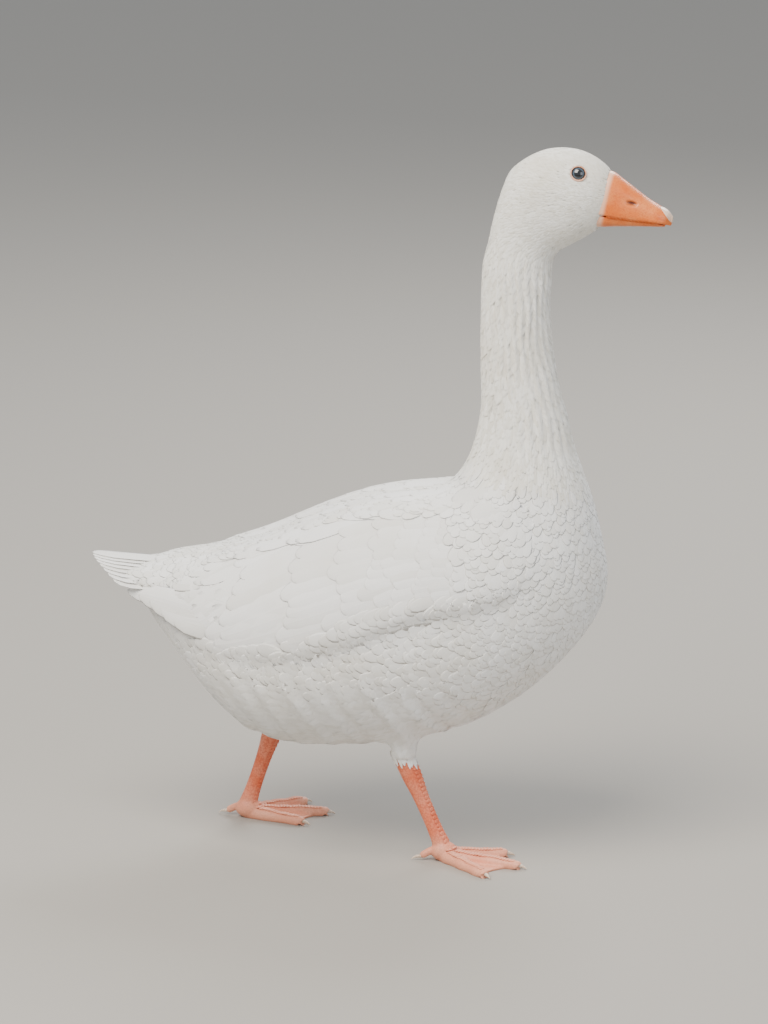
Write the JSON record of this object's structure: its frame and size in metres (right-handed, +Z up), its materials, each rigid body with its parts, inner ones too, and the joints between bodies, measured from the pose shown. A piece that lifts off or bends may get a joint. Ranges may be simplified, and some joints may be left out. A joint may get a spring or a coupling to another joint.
{
  "type": "domestic goose",
  "caption": "White domestic goose, life size, standing in mid-step with neck upright, orange bill and webbed feet flat on the floor.",
  "frame": {"origin": "on the floor, at the middle of the goose's outline seen from above", "axes": "+X the way the goose faces, +Y its left side, +Z up"},
  "size_m": [0.5184, 0.2304, 0.6348],
  "materials": {
    "feathers": "soft matte white plumage",
    "bill_skin": "smooth waxy orange skin",
    "leg_skin": "scaly orange-pink skin",
    "horn": "pale semi-gloss horn",
    "eye": "wet gloss"
  },
  "bodies": {
    "root": {"trunk": "feathers", "neck": "feathers", "head": "feathers", "tail": "feathers", "thigh_right": "feathers", "thigh_left": "feathers", "wing_right": "feathers", "wing_left": "feathers", "wing_right_primaries": "feathers", "wing_left_primaries": "feathers", "bill_upper": "bill_skin", "bill_lower": "bill_skin", "bill_nail": "horn", "eye_right": "eye", "eye_left": "eye", "shank_right": "leg_skin", "foot_right": "leg_skin", "hind_toe_right": "leg_skin", "claw_right_inner": "horn", "claw_right_middle": "horn", "claw_right_outer": "horn", "claw_right_hind": "horn", "shank_left": "leg_skin", "foot_left": "leg_skin", "hind_toe_left": "leg_skin", "claw_left_inner": "horn", "claw_left_middle": "horn", "claw_left_outer": "horn", "claw_left_hind": "horn"}
  },
  "joints": []
}
